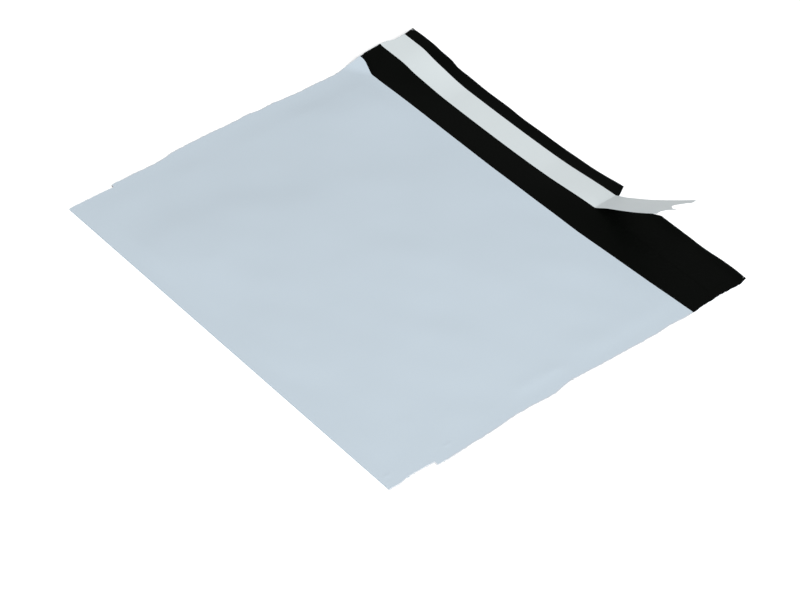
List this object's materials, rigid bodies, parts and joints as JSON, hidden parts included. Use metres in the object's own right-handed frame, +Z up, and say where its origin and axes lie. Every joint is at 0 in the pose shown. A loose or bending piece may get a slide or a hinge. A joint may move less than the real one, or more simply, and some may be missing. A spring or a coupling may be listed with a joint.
{
  "type": "poly mailer bag",
  "caption": "Flat film mailing bag, grey outside and black inside, bottom gusset, side welds, open flap with adhesive strip and a half-peeled, torn release liner",
  "frame": {"origin": "middle of the whole object's footprint, on the table", "axes": "+X along the mouth, +Y from the bottom fold to the flap, +Z up from the table"},
  "size_m": [0.324, 0.2836, 0.0514],
  "materials": {
    "film": "silver-grey polyethylene film, satin, black on its inner face",
    "adhesive": "clear hot-melt adhesive, glossy, black film showing through",
    "liner": "white silicone-coated film, satin"
  },
  "bodies": {
    "root": {"mailer_film": "film", "adhesive_strip": "adhesive", "release_liner": "liner"}
  },
  "joints": []
}
